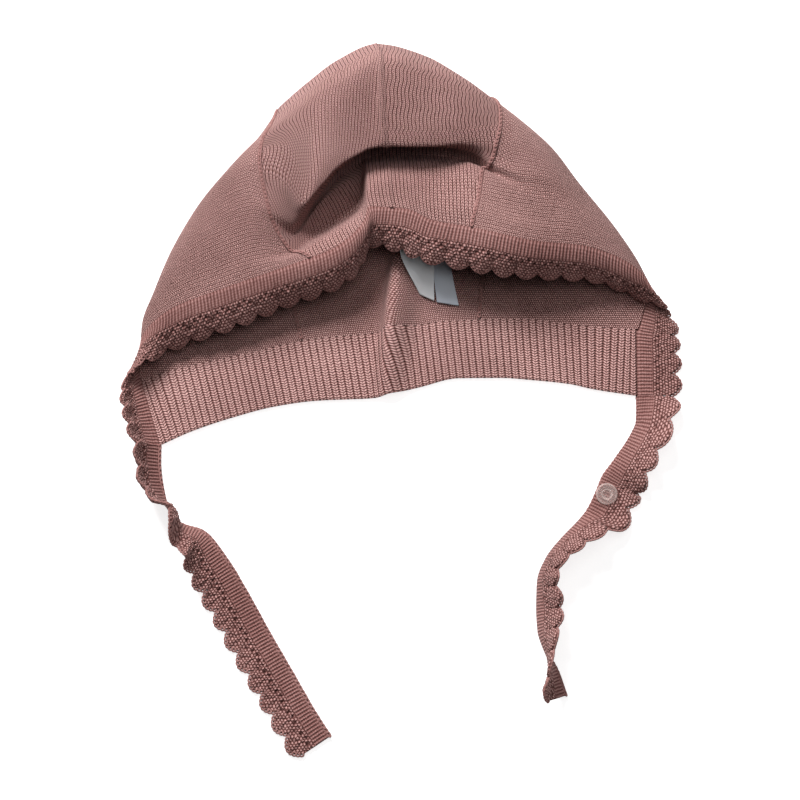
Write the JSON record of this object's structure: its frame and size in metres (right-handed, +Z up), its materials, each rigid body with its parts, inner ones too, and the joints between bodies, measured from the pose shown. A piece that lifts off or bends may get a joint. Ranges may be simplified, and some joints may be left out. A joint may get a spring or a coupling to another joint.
{
  "type": "baby hat",
  "caption": "knitted baby bonnet with a ribbed neck band, a scalloped edging round the face and two long ties with a press stud, lying on its back",
  "frame": {"origin": "middle of the bonnet's box seen from above, at the height of the surface that it lies on", "axes": "+Y to the crown, -Y to the neck edge and the ties, +X to the right tie, which carries the press stud, +Z up"},
  "size_m": [0.2786, 0.3562, 0.0419],
  "materials": {
    "centre_panel": "fine stocking-stitch knit in dusty mauve, matt",
    "side_panel_left": "fine stocking-stitch knit in dusty mauve, matt",
    "side_panel_right": "fine stocking-stitch knit in dusty mauve, matt",
    "neck_band": "one-and-one rib knit in dusty mauve",
    "front_edging": "openwork knit edging with scallops, dusty mauve",
    "strap_left": "openwork knit edging with scallops, dusty mauve",
    "strap_right": "openwork knit edging with scallops, dusty mauve",
    "snap_fastener": "clear, glossy",
    "care_label": "smooth white woven tape",
    "size_label": "satin grey-white woven tape"
  },
  "bodies": {
    "root": {"centre_panel": "centre_panel", "side_panel_left": "side_panel_left", "side_panel_right": "side_panel_right", "neck_band": "neck_band", "front_edging": "front_edging", "strap_left": "strap_left", "strap_right": "strap_right", "snap_fastener": "snap_fastener", "care_label": "care_label", "size_label": "size_label"}
  },
  "joints": []
}
